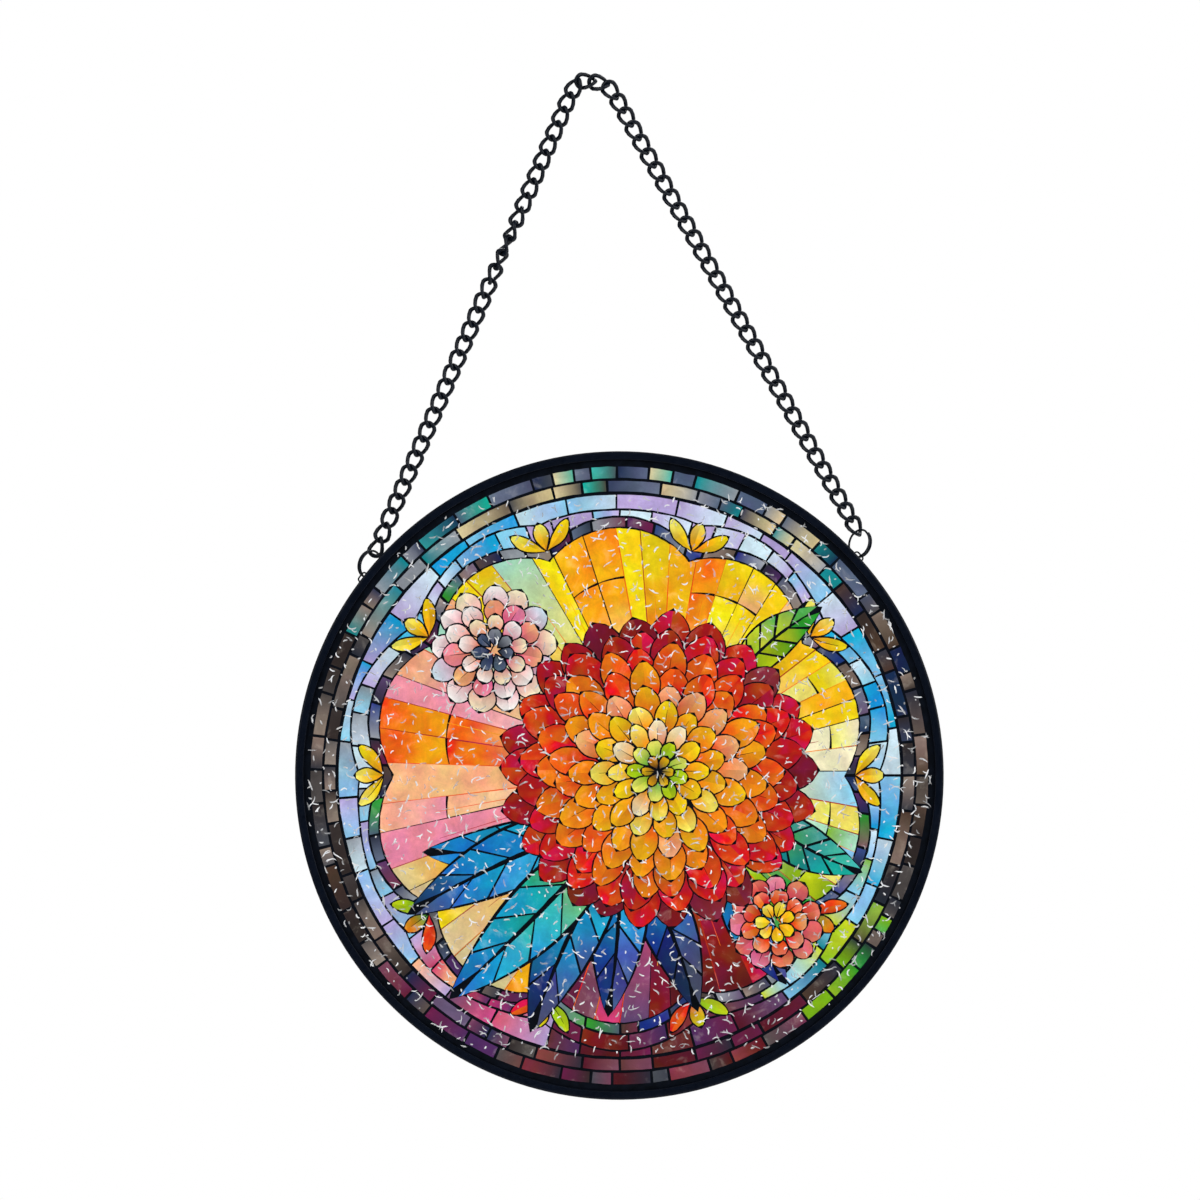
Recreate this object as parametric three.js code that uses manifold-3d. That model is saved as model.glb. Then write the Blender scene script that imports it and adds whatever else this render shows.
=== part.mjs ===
// Round picture panel in a black channel rim, hung from a black curb chain.
//
// Millimetres, +Z up, front towards -Y, left and right as seen from the front.
// The origin is where a hook touches the underside of the two top links. The chain hangs in
// the plane Y = 0, and the panel hangs just in front of it, from eyes on the back of its rim.

import Module from 'manifold-3d';
import * as THREE from 'three';
import { mergeVertices } from 'three/addons/utils/BufferGeometryUtils.js';

const wasm = await Module();
wasm.setup();

// Panel
const RIM_DIAMETER = 150;
const RIM_WALL = 0.7;
const LIP_WIDTH = 1.9;
const LIP_THICKNESS = 0.5;
const RIM_CHAMFER = 0.5;
const GLASS_THICKNESS = 2.4;
const GLASS_CHAMFER = 0.3;
const GLASS_CLEARANCE = 0.3;

// Chain. Each link is twisted by a quarter turn between its ends, left-handed
const LINKS_PER_SIDE = 34;
const LINK_WIRE = 1;
const LINK_PITCH = 3.62;
const LINK_WIDTH = 4.3;
const LINK_TWIST = -90;
const LINK_WELD = 0.12;
const JOINT_GAP = 0.3;
const TOP_JOINT_GAP = 0.45;
const HOOK_TO_TOP_JOINT = 2.1;
const LEFT_TOP_SLOPES = [-3, 58];
const RIGHT_TOP_SLOPES = [14, 56];

// Turns of the chain about its own length: as it lies over the hook, well down the left run, and
// at the last links of each run
const HOOK_TURN = 22;
const LEFT_RUN_TURN = { turn: -136, middle: 13.2, spread: 9 };
const END_TURN_LINKS = 3;
const LEFT_END_TURN = -60;
const RIGHT_END_TURN = 9;

// Jump rings, each a wire wound a little more than once round. They are turned to face half
// sideways, so that they pass behind the rim
const RING_DIAMETER = 6.9;
const RING_WIRE = 0.5;
const RING_TURNS = 1.35;
const RING_COIL_GAP = 0.15;
const RING_PARTS_FROM = 0.28;
const RING_TILT = 45;

// Lean of each ring, its top towards the middle of the panel, and how far round from its top the
// chain holds it, on the side towards the panel
const LEFT_RING = { lean: 22, held: 4 };
const RIGHT_RING = { lean: -18, held: 33 };

// Eyes, wire staples on the back of the rim, at an angle from the top of the panel
const EYE_ANGLE = 50;
const EYE_WIRE = 0.4;
const EYE_SPREAD = 2.4;
const EYE_CORNER = 0.7;
const EYE_PROUD = 0.95;
const EYE_LEG = 2.3;
const RING_TO_EYE_TOP = 1.08;
const RING_TO_EYE_LEG = 0.36;

// Fineness of the facets
const PANEL_SEGMENTS = 64;
const LINK_SEGMENTS = 10;
const LINK_SIDES = 4;
const RING_STEPS_PER_TURN = 14;
const THIN_WIRE_SIDES = 6;
const EYE_STEPS = 14;

const Y = new THREE.Vector3(0, 1, 0);
const Z = new THREE.Vector3(0, 0, 1);
const SIDES = { left: -1, right: 1 };

const rimRadius = RIM_DIAMETER / 2;
const rimHalfDepth = GLASS_THICKNESS / 2 + GLASS_CLEARANCE + LIP_THICKNESS;
const panelY = -(rimHalfDepth + JOINT_GAP + EYE_WIRE / 2);
const weldReach = (LINK_WIRE - LINK_WELD) / 2;

function radians(degrees) {
  return THREE.MathUtils.degToRad(degrees);
}

// A direction from the panel's centre, at an angle from straight up towards one side
function radialDirection(angle, side) {
  return new THREE.Vector3(side * Math.sin(radians(angle)), 0, Math.cos(radians(angle)));
}

// The direction along the rim at the eye of one side, towards the top of the panel
function upAlongRim(side) {
  const outward = radialDirection(EYE_ANGLE, side);
  return new THREE.Vector3(-side * outward.z, 0, side * outward.x);
}

// A direction down the chain, at an angle from straight down towards one side
function downDirection(angle, side) {
  return new THREE.Vector3(side * Math.sin(radians(angle)), 0, -Math.cos(radians(angle)));
}

// Section of a wire as a closed outline, with its first corner pointing along -x
function wireSection(diameter, sides) {
  const corners = [];
  for (let i = 0; i <= sides; i++) {
    const angle = Math.PI + (2 * Math.PI * (i % sides)) / sides;
    corners.push(new THREE.Vector2(Math.cos(angle), Math.sin(angle)).multiplyScalar(diameter / 2));
  }
  return corners;
}

// Wire of a round section along an open curve, with flat ends
function wireAlong(curve, diameter, steps) {
  const section = new THREE.Shape(wireSection(diameter, THIN_WIRE_SIDES));
  return new THREE.ExtrudeGeometry(section, { extrudePath: curve, steps });
}

function bareGeometry(geometry) {
  const bare = geometry.clone();
  bare.deleteAttribute('normal');
  bare.deleteAttribute('uv');
  return mergeVertices(bare);
}

function toManifold(geometry) {
  const bare = bareGeometry(geometry);
  return new wasm.Manifold(new wasm.Mesh({
    numProp: 3,
    vertProperties: new Float32Array(bare.attributes.position.array),
    triVerts: new Uint32Array(bare.index.array),
  }));
}

function fromManifold(solid) {
  const mesh = solid.getMesh();
  const geometry = new THREE.BufferGeometry();
  geometry.setAttribute('position', new THREE.BufferAttribute(mesh.vertProperties, 3));
  geometry.setIndex(new THREE.BufferAttribute(mesh.triVerts, 1));
  geometry.computeVertexNormals();
  return geometry;
}

function enamelledWire() {
  return new THREE.MeshStandardMaterial({ color: 0x141a24, roughness: 0.38, metalness: 0.7 });
}

function enamelledRim() {
  return new THREE.MeshStandardMaterial({ color: 0x10151d, roughness: 0.5, metalness: 0.5 });
}

function paintedGlass() {
  const material = new THREE.MeshStandardMaterial({ color: 0xb9683f, roughness: 0.12, metalness: 0 });
  material.transparent = true;
  material.opacity = 0.85;
  return material;
}

function named(name, geometry, material) {
  const mesh = new THREE.Mesh(geometry, material);
  mesh.name = name;
  return mesh;
}

// Glass disc with a ground edge, turned about Y
function glassGeometry() {
  const radius = rimRadius - RIM_WALL - GLASS_CLEARANCE;
  const half = GLASS_THICKNESS / 2;
  return new THREE.LatheGeometry([
    new THREE.Vector2(0, -half),
    new THREE.Vector2(radius - GLASS_CHAMFER, -half),
    new THREE.Vector2(radius, -half + GLASS_CHAMFER),
    new THREE.Vector2(radius, half - GLASS_CHAMFER),
    new THREE.Vector2(radius - GLASS_CHAMFER, half),
    new THREE.Vector2(0, half),
  ], PANEL_SEGMENTS);
}

// Channel that wraps the edge of the glass, turned about Y
function rimGeometry() {
  const inside = rimRadius - RIM_WALL;
  const lipEdge = rimRadius - LIP_WIDTH;
  const slot = rimHalfDepth - LIP_THICKNESS;
  return new THREE.LatheGeometry([
    new THREE.Vector2(lipEdge, -rimHalfDepth),
    new THREE.Vector2(rimRadius - RIM_CHAMFER, -rimHalfDepth),
    new THREE.Vector2(rimRadius, -rimHalfDepth + RIM_CHAMFER),
    new THREE.Vector2(rimRadius, rimHalfDepth - RIM_CHAMFER),
    new THREE.Vector2(rimRadius - RIM_CHAMFER, rimHalfDepth),
    new THREE.Vector2(lipEdge, rimHalfDepth),
    new THREE.Vector2(lipEdge, slot),
    new THREE.Vector2(inside, slot),
    new THREE.Vector2(inside, -slot),
    new THREE.Vector2(lipEdge, -slot),
    new THREE.Vector2(lipEdge, -rimHalfDepth),
  ], PANEL_SEGMENTS);
}

// One curb link at the origin, its length along Z and its middle lying in the plane Y = 0:
// a ring of wire, pulled out to an oval and then twisted evenly from end to end
function curbLinkGeometry() {
  const bowRadius = (LINK_WIDTH - LINK_WIRE) / 2;
  const tip = LINK_PITCH / 2 + weldReach;
  const straight = tip - bowRadius;
  const section = wireSection(LINK_WIRE, LINK_SIDES);
  const outline = section.map((corner) => new THREE.Vector2(corner.x + bowRadius, corner.y));
  const link = bareGeometry(new THREE.LatheGeometry(outline, LINK_SEGMENTS));
  const corner = new THREE.Vector3();
  const position = link.attributes.position;
  for (let i = 0; i < position.count; i++) {
    corner.fromBufferAttribute(position, i);
    corner.z += Math.sign(corner.z) * straight;
    corner.applyAxisAngle(Z, radians(LINK_TWIST / 2) * (corner.z / tip));
    position.setXYZ(i, corner.x, corner.y, corner.z);
  }
  return link;
}

// How far a link is turned about its run's length
function runTurn(side, link) {
  const end = THREE.MathUtils.smoothstep(link, LINKS_PER_SIDE - END_TURN_LINKS, LINKS_PER_SIDE);
  if (side === SIDES.right) {
    return HOOK_TURN + RIGHT_END_TURN * end;
  }
  const { turn, middle, spread } = LEFT_RUN_TURN;
  const run = THREE.MathUtils.smoothstep(link, middle - spread / 2, middle + spread / 2);
  return turn * run + LEFT_END_TURN * end - HOOK_TURN;
}

// Where the wire of a jump ring crosses the plane of its eye, from the panel's centre
function ringAtEye(side) {
  const offset = EYE_SPREAD / 2 - EYE_WIRE / 2 - RING_WIRE / 2 - RING_TO_EYE_LEG;
  const radius = rimRadius + EYE_PROUD - EYE_WIRE / 2 - RING_TO_EYE_TOP;
  return radialDirection(EYE_ANGLE, side)
    .multiplyScalar(radius)
    .addScaledVector(upAlongRim(side), offset);
}

// Distance between the two sides of a jump ring, from wire centre to wire centre
function ringSpan() {
  return RING_DIAMETER - RING_WIRE;
}

// Directions up a jump ring and across it towards the back of the panel, and how far round from
// its top the chain holds it
function ringFrame(side) {
  const { lean, held } = side === SIDES.left ? LEFT_RING : RIGHT_RING;
  const up = downDirection(lean, side).negate();
  const across = up.clone().cross(Y).multiplyScalar(side * Math.cos(radians(RING_TILT)));
  across.addScaledVector(Y, Math.sin(radians(RING_TILT)));
  return { up, across, held };
}

// Where the chain holds a jump ring, from where the ring crosses its eye
function heldFromEye(side) {
  const { up, across, held } = ringFrame(side);
  return up.multiplyScalar(1 + Math.cos(radians(held)))
    .addScaledVector(across, Math.sin(radians(held)))
    .multiplyScalar(ringSpan() / 2);
}

// Distance down the run from the last joint to the wire of the jump ring that it holds
function jointToRing() {
  return weldReach - (LINK_WIRE + RING_WIRE) / 2 - JOINT_GAP;
}

// Joints of the first links of one run, which lie over the hook, from the hook down
function topJoints(side) {
  const slack = (LINK_WELD + TOP_JOINT_GAP) / 2;
  const joints = [new THREE.Vector3(-side * slack, 0, HOOK_TO_TOP_JOINT)];
  for (const slope of side === SIDES.left ? LEFT_TOP_SLOPES : RIGHT_TOP_SLOPES) {
    const step = downDirection(90 - slope, side).multiplyScalar(LINK_PITCH);
    joints.push(joints.at(-1).clone().add(step));
  }
  return joints;
}

// Straight part of one run, with the panel's centre at some distance to the right of the hook
function straightRun(side, panelX) {
  const top = topJoints(side);
  const start = top.at(-1);
  const links = LINKS_PER_SIDE - top.length + 1;
  const length = links * LINK_PITCH + jointToRing();
  const held = heldFromEye(side);
  const reach = new THREE.Vector2(panelX + ringAtEye(side).x + held.x - start.x, held.y);
  const drop = Math.sqrt(length ** 2 - reach.lengthSq());
  const direction = new THREE.Vector3(reach.x, reach.y, -drop).divideScalar(length);
  return { start, links, direction, eyeHeight: start.z - drop - held.z };
}

// Distance of the panel's centre to the right of the hook at which it hangs level, by halving
function levelPanelX() {
  let low = -RIM_DIAMETER / 10;
  let high = RIM_DIAMETER / 10;
  for (let i = 0; i < 40; i++) {
    const middle = (low + high) / 2;
    const [left, right] = [SIDES.left, SIDES.right].map((side) => straightRun(side, middle).eyeHeight);
    [low, high] = left > right ? [middle, high] : [low, middle];
  }
  return (low + high) / 2;
}

// Joints of one run from the hook down
function runJoints(side) {
  const { start, links, direction } = straightRun(side, levelPanelX());
  const joints = topJoints(side);
  for (let i = 1; i <= links; i++) {
    joints.push(start.clone().addScaledVector(direction, i * LINK_PITCH));
  }
  return joints;
}

// Chain of one side, its links welded into one solid where they bear on each other
function chainRun(side) {
  const link = curbLinkGeometry();
  const joints = runJoints(side);
  const links = [];
  for (let i = 1; i < joints.length; i++) {
    const up = joints[i - 1].clone().sub(joints[i]).normalize();
    const across = Y.clone().cross(up).normalize();
    const placed = new THREE.Matrix4().makeBasis(across, up.clone().cross(across), up);
    placed.multiply(new THREE.Matrix4().makeRotationZ(radians(runTurn(side, i))));
    placed.setPosition(joints[i - 1].clone().add(joints[i]).multiplyScalar(0.5));
    links.push(toManifold(link.clone().applyMatrix4(placed)));
  }
  return fromManifold(wasm.Manifold.union(links));
}

// Centre line of a jump ring: a flat coil whose doubled part lies on the side away from the panel
class RingCurve extends THREE.Curve {
  constructor(centre, towardsPanel, down, side) {
    super();
    this.centre = centre;
    this.towardsPanel = towardsPanel;
    this.down = down;
    this.normal = down.clone().cross(towardsPanel).multiplyScalar(side).normalize();
  }

  getPoint(share, target = new THREE.Vector3()) {
    const turn = (share - 0.5) * RING_TURNS;
    const angle = 2 * Math.PI * turn;
    const parting = THREE.MathUtils.smoothstep(Math.abs(turn), RING_PARTS_FROM, 1 - RING_TURNS / 2);
    return target.copy(this.centre)
      .addScaledVector(this.towardsPanel, (Math.cos(angle) * ringSpan()) / 2)
      .addScaledVector(this.down, (Math.sin(angle) * ringSpan()) / 2)
      .addScaledVector(this.normal, (Math.sign(turn) * parting * (RING_WIRE + RING_COIL_GAP)) / 2);
  }
}

// Centre of the panel's middle plane, found from the length of the chain
function panelCentre() {
  const x = levelPanelX();
  const { eyeHeight } = straightRun(SIDES.right, x);
  return new THREE.Vector3(x, panelY, eyeHeight - ringAtEye(SIDES.right).z);
}

function jumpRing(side) {
  const { up, across } = ringFrame(side);
  const centre = panelCentre().setY(0).add(ringAtEye(side)).addScaledVector(up, ringSpan() / 2);
  const curve = new RingCurve(centre, across, up.negate(), side);
  return wireAlong(curve, RING_WIRE, Math.round(RING_TURNS * RING_STEPS_PER_TURN));
}

// Staple of wire, its legs along the rim's back and its bend standing past the rim's edge
function eye(side) {
  const outward = radialDirection(EYE_ANGLE, side);
  const alongRim = upAlongRim(side);
  const middle = panelCentre().setY(0);
  const top = rimRadius + EYE_PROUD - EYE_WIRE / 2;
  const at = (along, radius) => middle.clone()
    .addScaledVector(outward, radius)
    .addScaledVector(alongRim, along);
  const path = new THREE.CurvePath();
  const half = EYE_SPREAD / 2;
  const shoulder = top - EYE_CORNER;
  path.add(new THREE.LineCurve3(at(-half, top - EYE_LEG), at(-half, shoulder)));
  path.add(new THREE.QuadraticBezierCurve3(at(-half, shoulder), at(-half, top), at(EYE_CORNER - half, top)));
  path.add(new THREE.LineCurve3(at(EYE_CORNER - half, top), at(half - EYE_CORNER, top)));
  path.add(new THREE.QuadraticBezierCurve3(at(half - EYE_CORNER, top), at(half, top), at(half, shoulder)));
  path.add(new THREE.LineCurve3(at(half, shoulder), at(half, top - EYE_LEG)));
  return wireAlong(path, EYE_WIRE, EYE_STEPS);
}

function buildPanel() {
  const panel = new THREE.Group();
  panel.add(named('glass_disc', glassGeometry(), paintedGlass()));
  panel.add(named('rim', rimGeometry(), enamelledRim()));
  panel.position.copy(panelCentre());
  return panel;
}

function buildSide(name, side) {
  const group = new THREE.Group();
  group.add(named(`chain_${name}`, chainRun(side), enamelledWire()));
  group.add(named(`jump_ring_${name}`, jumpRing(side), enamelledWire()));
  group.add(named(`eye_${name}`, eye(side), enamelledWire()));
  return group;
}

const hanger = new THREE.Group();
hanger.add(buildPanel());
for (const [name, side] of Object.entries(SIDES)) {
  hanger.add(buildSide(name, side));
}

export default hanger;
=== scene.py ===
"""Round glass suncatcher: a flower window printed on a sheet of rippled glass, in a black rim,
on a black curb chain. Metres, +Z up, front towards -Y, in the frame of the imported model."""

import math
import random

import bmesh
import bpy
import numpy as np
from bpy.props import (
    FloatProperty, FloatVectorProperty, IntProperty, PointerProperty,
)
from mathutils import Matrix, Vector
from mathutils.geometry import delaunay_2d_cdt


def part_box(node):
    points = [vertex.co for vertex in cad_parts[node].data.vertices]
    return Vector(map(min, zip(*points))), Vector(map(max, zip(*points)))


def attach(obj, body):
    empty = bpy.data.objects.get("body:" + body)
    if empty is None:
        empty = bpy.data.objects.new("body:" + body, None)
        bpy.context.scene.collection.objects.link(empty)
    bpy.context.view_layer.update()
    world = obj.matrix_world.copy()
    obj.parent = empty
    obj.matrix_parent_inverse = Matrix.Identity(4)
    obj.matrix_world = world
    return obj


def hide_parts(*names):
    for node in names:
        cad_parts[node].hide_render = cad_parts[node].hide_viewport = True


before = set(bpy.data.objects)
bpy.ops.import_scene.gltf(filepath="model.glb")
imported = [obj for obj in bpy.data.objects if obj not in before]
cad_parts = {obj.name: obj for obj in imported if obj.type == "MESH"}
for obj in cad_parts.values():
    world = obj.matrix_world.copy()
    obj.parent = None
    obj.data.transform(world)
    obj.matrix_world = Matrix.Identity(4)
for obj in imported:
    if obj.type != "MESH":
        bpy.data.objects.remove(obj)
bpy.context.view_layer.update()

bl_info = {
    "name": "Round glass suncatcher",
    "version": (1, 0, 0),
    "blender": (4, 5, 0),
    "location": "3D View > Sidebar > Suncatcher",
    "description": "Builds a round glass suncatcher on its chain, piece by piece",
    "category": "Add Mesh",
}

MM = 0.001
BODY = "root"
SIDES = {"left": -1, "right": 1}
FORWARD = Vector((0, 1, 0))
UP = Vector((0, 0, 1))


# Sizes and colours that a user would change

def length(name, description, millimetres):
    return FloatProperty(
        name=name, description=description, default=millimetres * MM, min=0,
        unit="LENGTH", precision=5,
    )


def angle(name, description, degrees):
    return FloatProperty(
        name=name, description=description, default=math.radians(degrees), subtype="ANGLE",
    )


def colour(name, description, code):
    return FloatVectorProperty(
        name=name, description=description, default=paint(code), subtype="COLOR",
        size=3, min=0, max=1,
    )


def paint(code):
    """Linear red, green and blue of a colour written as on a paint card, such as d8201a"""
    shades = (int(code[i:i + 2], 16) / 255 for i in (0, 2, 4))
    return tuple(s / 12.92 if s <= 0.04045 else ((s + 0.055) / 1.055) ** 2.4 for s in shades)


class RimSettings(bpy.types.PropertyGroup):
    wall: length("Wall", "Thickness of the channel's outer wall", 0.7)
    lip: length("Lip", "Width of each lip, from the rim's outside", 1.9)
    lip_thickness: length("Lip thickness", "Thickness of each lip", 0.5)
    corner: length("Corner", "Radius of the rim's outer corners", 0.5)
    edge: length("Edge", "Radius of the lips' edges", 0.12)
    enamel: colour("Enamel", "Colour of the rim's enamel", "040914")


class GlassSettings(bpy.types.PropertyGroup):
    ground: length("Ground edge", "Width of the ground edge of the sheet", 0.3)
    ripple_step: length("Ripple step", "Distance between ripples", 2.6)
    ripple_width: length("Ripple width", "Greatest width of a ripple", 0.36)
    ripple_height: length("Ripple height", "How far a ripple stands out", 0.07)


class PictureSettings(bpy.types.PropertyGroup):
    lean: angle("Lean", "Turn of the print in its rim, to the right at the top", 2.4)
    line: length("Line", "Width of a black line between two panes", 0.62)
    wobble: length("Wobble", "How unevenly a line is drawn", 0.07)


class ChainSettings(bpy.types.PropertyGroup):
    links: IntProperty(name="Links", description="Links on each side", default=34, min=4)
    wire: length("Wire", "Thickness of a link's wire", 1.0)
    pitch: length("Pitch", "Distance from joint to joint", 3.62)
    width: length("Width", "Width of a link", 4.3)
    twist: angle("Twist", "Twist of a link between its ends", -90)
    bearing: length("Bearing", "Depth by which links bear into each other", 0.12)
    gap: length("Gap", "Play between the chain, its rings and the eyes", 0.3)
    top_gap: length("Top gap", "Play between the two links over the hook", 0.45)
    top_joint: length("Top joint", "Height of the top joint over the hook", 2.1)
    hook_turn: angle("Hook turn", "Turn of the chain about its own length over the hook", 22)
    enamel: colour("Enamel", "Colour of the wire's enamel", "060c16")


class RingSettings(bpy.types.PropertyGroup):
    diameter: length("Diameter", "Outside diameter of a jump ring", 6.9)
    wire: length("Wire", "Thickness of a jump ring's wire", 0.5)
    turns: FloatProperty(name="Turns", description="Turns of wire in a jump ring", default=1.35)
    coil_gap: length("Coil gap", "Gap between the turns of wire", 0.15)
    tilt: angle("Tilt", "Turn of the rings out of the chain's plane", 45)


class EyeSettings(bpy.types.PropertyGroup):
    place: angle("Place", "Angle of the eyes from the top of the rim", 50)
    wire: length("Wire", "Thickness of an eye's wire", 0.4)
    spread: length("Spread", "Width of an eye", 2.4)
    corner: length("Corner", "Radius of an eye's bends", 0.7)
    proud: length("Proud", "How far an eye stands out of the rim", 0.95)
    leg: length("Leg", "Length of an eye's legs", 2.3)


class StageSettings(bpy.types.PropertyGroup):
    distance: length("Camera distance", "From the camera to the panel", 1200)
    frame_width: length("Frame width", "Width of the picture at the panel", 277.8)
    floor_drop: length("Floor drop", "Height of the hook over the floor", 560)
    floor_radius: length("Floor radius", "Radius of the floor", 900)


# Work in object and edit mode

def deselect_all():
    if bpy.context.object and bpy.context.object.mode != "OBJECT":
        bpy.ops.object.mode_set(mode="OBJECT")
    bpy.ops.object.select_all(action="DESELECT")


def activate(piece):
    deselect_all()
    piece.select_set(True)
    bpy.context.view_layer.objects.active = piece


def start_editing(piece, mode="VERT"):
    activate(piece)
    bpy.ops.object.mode_set(mode="EDIT")
    bpy.ops.mesh.select_mode(type=mode)
    bpy.ops.mesh.select_all(action="SELECT")


def select_where(piece, test, kind="verts"):
    """In edit mode, selects the vertices, edges or faces that pass the test"""
    bpy.ops.mesh.select_all(action="DESELECT")
    mesh = bmesh.from_edit_mesh(piece.data)
    for part in getattr(mesh, kind):
        if test(part):
            part.select_set(True)
    mesh.select_flush_mode()
    bmesh.update_edit_mesh(piece.data)


def finish_editing(merge=1e-7):
    bpy.ops.mesh.select_all(action="SELECT")
    bpy.ops.mesh.remove_doubles(threshold=merge)
    bpy.ops.mesh.normals_make_consistent(inside=False)
    bpy.ops.object.mode_set(mode="OBJECT")


def settle(piece):
    """Puts a piece's place, turn and scale into its mesh"""
    activate(piece)
    bpy.ops.object.transform_apply(location=True, rotation=True, scale=True)


def apply_modifier(piece, kind, **values):
    activate(piece)
    modifier = piece.modifiers.new(kind.title(), kind)
    for name, value in values.items():
        setattr(modifier, name, value)
    bpy.ops.object.modifier_apply(modifier=modifier.name)


def hand_over(piece, name, slot, *nodes, smooth=35):
    """Names a piece, smooths it, ties it to its body and hides the nodes it stands for. Its slot is not used.
    """
    settle(piece)
    bpy.ops.object.shade_smooth_by_angle(angle=math.radians(smooth))
    piece.name = piece.data.name = name
    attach(piece, BODY)
    if nodes:
        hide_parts(*nodes)


def new_piece(name, points, faces):
    mesh = bpy.data.meshes.new(name)
    mesh.from_pydata(points, [], faces)
    piece = bpy.data.objects.new(name, mesh)
    bpy.context.collection.objects.link(piece)
    return piece


def own_copy(piece):
    copy = piece.copy()
    copy.data = piece.data.copy()
    bpy.context.collection.objects.link(copy)
    return copy


def join(pieces):
    deselect_all()
    for piece in pieces:
        piece.select_set(True)
    bpy.context.view_layer.objects.active = pieces[0]
    bpy.ops.object.join()
    return pieces[0]


def centre_of(node):
    low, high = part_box(node)
    return (low + high) / 2, (high - low) / 2


# Materials

CLOUD_LOW = 0.35
WORN_ENAMEL = paint("2b3038")


def material(name, colour=None, **values):
    """A material with a Principled shader, and the tools to lay nodes before it"""
    finish = bpy.data.materials.new(name)
    finish.use_nodes = True
    shader = finish.node_tree.nodes["Principled BSDF"]
    if colour:
        shader.inputs["Base Color"].default_value = (*colour, 1)
    for socket, value in values.items():
        shader.inputs[socket.replace("_", " ")].default_value = value
    return finish, shader


def node(finish, kind, **values):
    """Adds a node. Values are its inputs by name or its own settings"""
    made = finish.node_tree.nodes.new("ShaderNode" + kind)
    for name, value in values.items():
        socket = name.replace("_", " ")
        if hasattr(made, name):
            setattr(made, name, value)
        elif isinstance(value, bpy.types.NodeSocket):
            finish.node_tree.links.new(value, made.inputs[socket])
        else:
            made.inputs[socket].default_value = value
    return made


def link(finish, source, target):
    finish.node_tree.links.new(source, target)


def noise(finish, scale, detail=3, roughness=0.55, distortion=0.0, place=None):
    """Noise on the piece's own coordinates, its scale in spots to the metre"""
    if place is None:
        place = node(finish, "TexCoord").outputs["Object"]
    return node(finish, "TexNoise", Scale=scale, Detail=detail, Roughness=roughness,
                Distortion=distortion, Vector=place).outputs["Fac"]


def spread_of(finish, value, low, high, new_low, new_high):
    """A value moved from one range to another"""
    return node(finish, "MapRange", Value=value, From_Min=low, From_Max=high, To_Min=new_low,
                To_Max=new_high).outputs["Result"]


def blend_colours(finish, share, first, second):
    """The first colour where the share is 0, and the second where it is 1"""
    made = node(finish, "Mix", data_type="RGBA")
    for socket, value in ((made.inputs["Factor"], share), (made.inputs[6], first), (made.inputs[7], second)):
        if isinstance(value, bpy.types.NodeSocket):
            link(finish, value, socket)
        elif isinstance(value, float):
            socket.default_value = value
        else:
            socket.default_value = (*value, 1)
    return made.outputs[2]


def computed(finish, kind, operation, first, second):
    """The sum or product of two values"""
    made = node(finish, kind, operation=operation)
    link(finish, first, made.inputs[0])
    link(finish, second, made.inputs[1])
    return made.outputs[0]


def clouded(finish, scale, detail, high, first, second):
    """Two colours in clouds: the first under CLOUD_LOW of the noise, the second over high"""
    share = spread_of(finish, noise(finish, scale, detail=detail), CLOUD_LOW, high, 0.0, 1.0)
    return blend_colours(finish, share, first, second)


def add_bump(finish, shader, height, strength, distance):
    bump = node(finish, "Bump", Strength=strength, Distance=distance, Height=height)
    link(finish, bump.outputs["Normal"], shader.inputs["Normal"])


def enamel(name, colour, wear, grain, sheen):
    """Satin black enamel on metal: a little uneven, with orange peel and a few rubbed spots"""
    finish, shader = material(name, Coat_Weight=sheen / 2, Coat_Roughness=0.18, Specular_IOR_Level=sheen)
    light = tuple(min(1, c * 1.5 + 0.0005) for c in colour)
    base = clouded(finish, grain * 0.25, 4, 0.7, colour, light)
    spots = spread_of(finish, noise(finish, grain * 2.2, detail=5, roughness=0.7), 0.66, 0.74, 0.0, wear)
    base = blend_colours(finish, spots, base, WORN_ENAMEL)
    link(finish, base, shader.inputs["Base Color"])
    rough = spread_of(finish, noise(finish, grain, detail=4), 0.3, 0.7, 0.30, 0.46)
    link(finish, rough, shader.inputs["Roughness"])
    add_bump(finish, shader, noise(finish, grain * 3, detail=2), 0.22, 0.00006)
    return finish


def clear_glass():
    return material(
        "Clear glass", (0.93, 0.975, 0.955), Roughness=0.02, IOR=1.5, Transmission_Weight=1.0)[0]


def print_paint():
    """Glass paint of the panes: each pane's own colour, mottled as watercolour dries"""
    finish, shader = material(
        "Glass paint", Roughness=0.34, Coat_Weight=0.45, Coat_Roughness=0.06)
    tone = node(finish, "Attribute", attribute_name="paint").outputs["Color"]
    own = node(finish, "Attribute", attribute_name="pane_shift").outputs["Fac"]
    place = node(finish, "TexCoord").outputs["Object"]
    shift = node(finish, "CombineXYZ", X=own, Y=own, Z=own).outputs["Vector"]
    moved = computed(finish, "VectorMath", "ADD", place, shift)
    wash = noise(finish, 240, detail=5, roughness=0.62, distortion=0.5, place=moved)
    grain = noise(finish, 1900, detail=3, roughness=0.7, place=place)
    hue = spread_of(finish, noise(finish, 150, detail=2, place=moved), 0.3, 0.7, 0.478, 0.522)
    value = spread_of(finish, wash, 0.3, 0.72, 0.80, 1.20)
    speck = spread_of(finish, grain, 0.3, 0.7, 0.94, 1.06)
    brightness = computed(finish, "Math", "MULTIPLY", value, speck)
    shaded = node(finish, "HueSaturation", Saturation=1.12, Color=tone, Hue=hue, Value=brightness)
    bloom = spread_of(finish, wash, 0.58, 0.72, 0.0, 0.10)
    washed = blend_colours(finish, bloom, shaded.outputs["Color"], paint("fff6e4"))
    link(finish, washed, shader.inputs["Base Color"])
    add_bump(finish, shader, noise(finish, 420, detail=2), 0.10, 0.0002)
    return finish


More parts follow.
